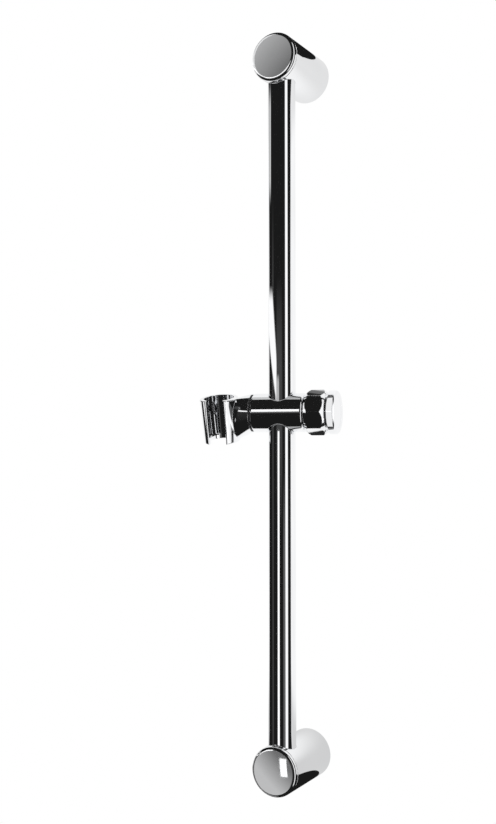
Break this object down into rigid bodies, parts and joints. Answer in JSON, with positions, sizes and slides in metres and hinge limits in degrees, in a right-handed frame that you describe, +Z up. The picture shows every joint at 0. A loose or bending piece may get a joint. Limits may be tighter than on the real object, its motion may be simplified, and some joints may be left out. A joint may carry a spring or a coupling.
{
  "type": "shower slide rail",
  "caption": "Chrome wall rail for a hand shower: round tube between two capped wall brackets, with a knob-clamped slider carrying a tilting open-fronted holder.",
  "frame": {"origin": "on the wall plane, halfway between the two fixing holes", "axes": "+Z up along the rail, +Y into the wall, +X to the right seen from the front"},
  "size_m": [0.115, 0.0756, 0.6],
  "materials": {
    "chrome_tube": "bright chrome plated steel tube",
    "chrome_moulding": "bright chrome plating on moulded ABS",
    "bearing_plastic": "natural acetal, as moulded",
    "friction_rubber": "black nitrile rubber",
    "insert_brass": "turned brass",
    "plain_steel": "stainless steel"
  },
  "bodies": {
    "rail": {"rail_tube": "chrome_tube", "top_bracket": "chrome_moulding", "bottom_bracket": "chrome_moulding", "top_cap": "chrome_moulding", "bottom_cap": "chrome_moulding"},
    "carriage": {"upper_bush": "bearing_plastic", "lower_bush": "bearing_plastic"},
    "slider": {"slider_body": "chrome_moulding", "friction_ring": "friction_rubber", "threaded_insert": "insert_brass", "holder_screw": "plain_steel", "flat_washer": "plain_steel", "spring_washer": "plain_steel"},
    "holder": {"holder": "chrome_moulding"},
    "brake": {"brake_pad": "bearing_plastic"},
    "knob": {"knob": "chrome_moulding", "knob_cap": "chrome_moulding", "clamp_stud": "plain_steel", "knob_washer": "bearing_plastic"}
  },
  "joints": [
    {"name": "rail_slide", "type": "slide", "parent": "rail", "child": "carriage", "axis": [0, 0, 1], "range_m": [-0.2425, 0.2455]},
    {"name": "slider_swivel", "type": "hinge", "parent": "carriage", "child": "slider", "pos_m": [0, -0.048, -0.0015], "axis": [0, 0, 1], "range_deg": [-32, 33]},
    {"name": "holder_tilt", "type": "hinge", "parent": "slider", "child": "holder", "pos_m": [-0.02445, -0.0532, -0.0015], "axis": [0.9781, 0.2079, 0], "range_deg": [-60, 45]},
    {"name": "pad_press", "type": "slide", "parent": "slider", "child": "brake", "axis": [0.9781, 0.2079, 0], "range_m": [0, 0.00075]},
    {"name": "knob_turn", "type": "hinge", "parent": "brake", "child": "knob", "pos_m": [0.02934, -0.04176, -0.0015], "axis": [0.9781, 0.2079, 0], "range_deg": [0, 270]}
  ],
  "couplings": [
    {"joint": "knob_turn", "follows": "pad_press", "rad_per_m": 6283.2}
  ]
}
